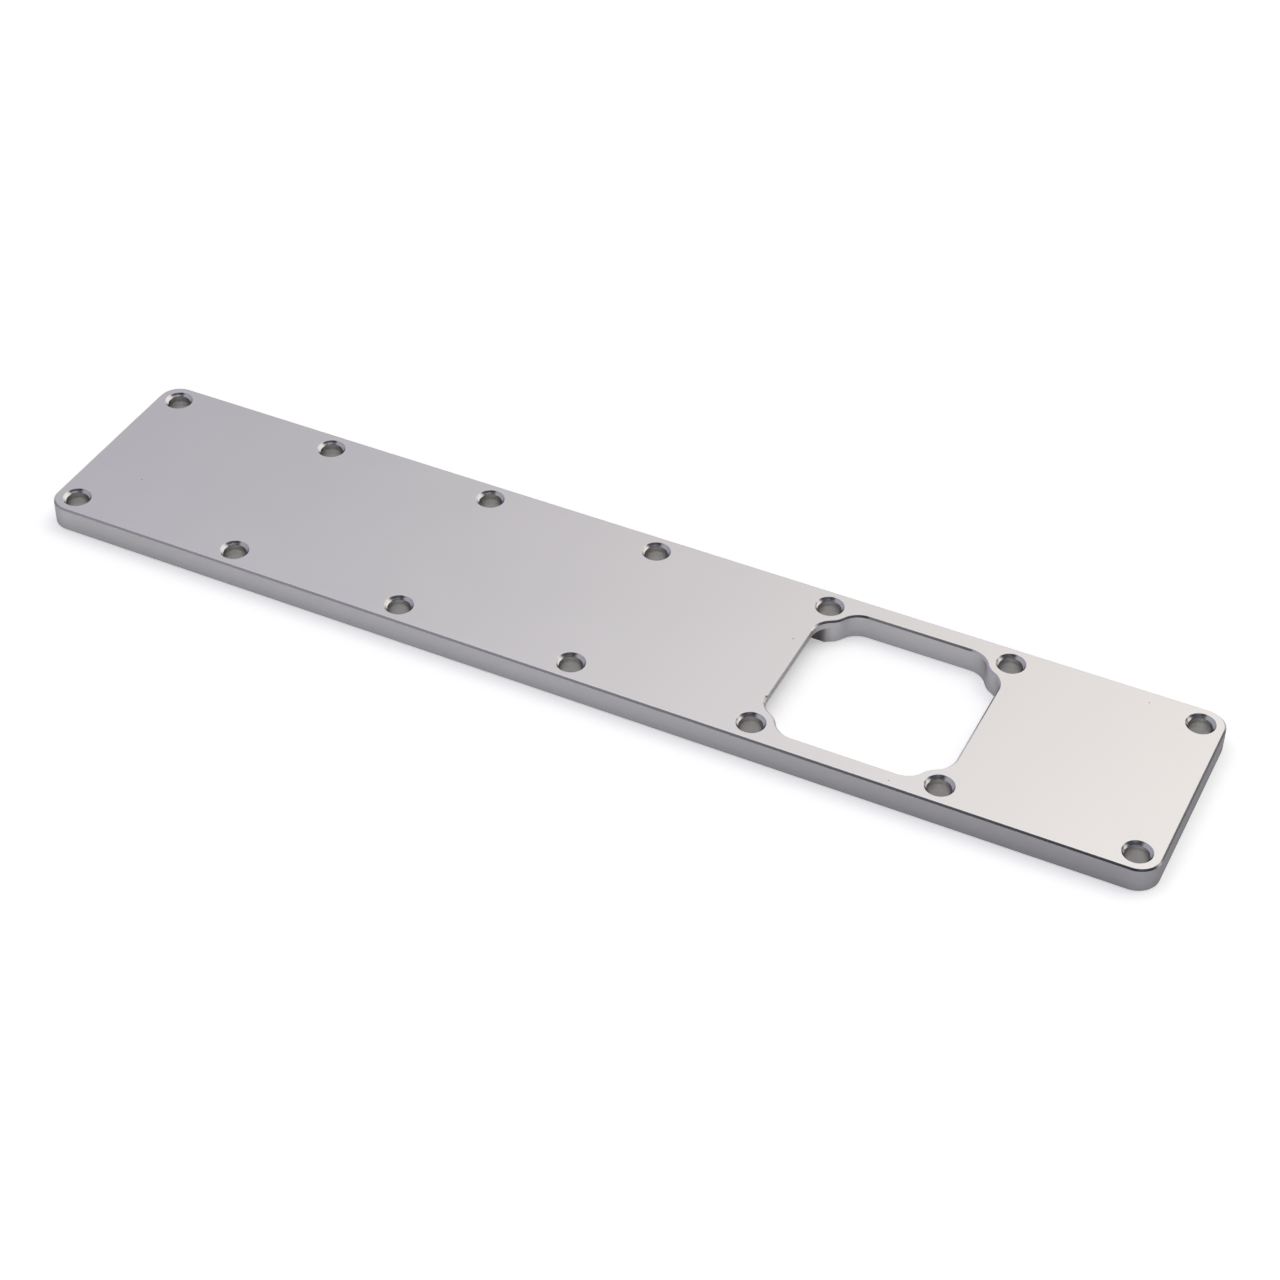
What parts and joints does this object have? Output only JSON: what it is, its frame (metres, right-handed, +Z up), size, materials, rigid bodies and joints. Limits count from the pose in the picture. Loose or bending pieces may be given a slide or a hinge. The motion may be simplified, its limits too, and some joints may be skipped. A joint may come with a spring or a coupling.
{
  "type": "intake plenum plate",
  "caption": "Flat machined aluminium cover plate with rows of chamfered bolt holes, a square air window near one end and an air channel underneath.",
  "frame": {"origin": "middle of the underside, which is the face that the gasket seals on", "axes": "+X along the plate towards the window end, +Y across the plate, +Z up through the thickness and out of the engine"},
  "size_m": [0.563, 0.112, 0.0127],
  "materials": {
    "satin_aluminium": "satin"
  },
  "bodies": {
    "root": {"plenum_plate": "satin_aluminium"}
  },
  "joints": []
}
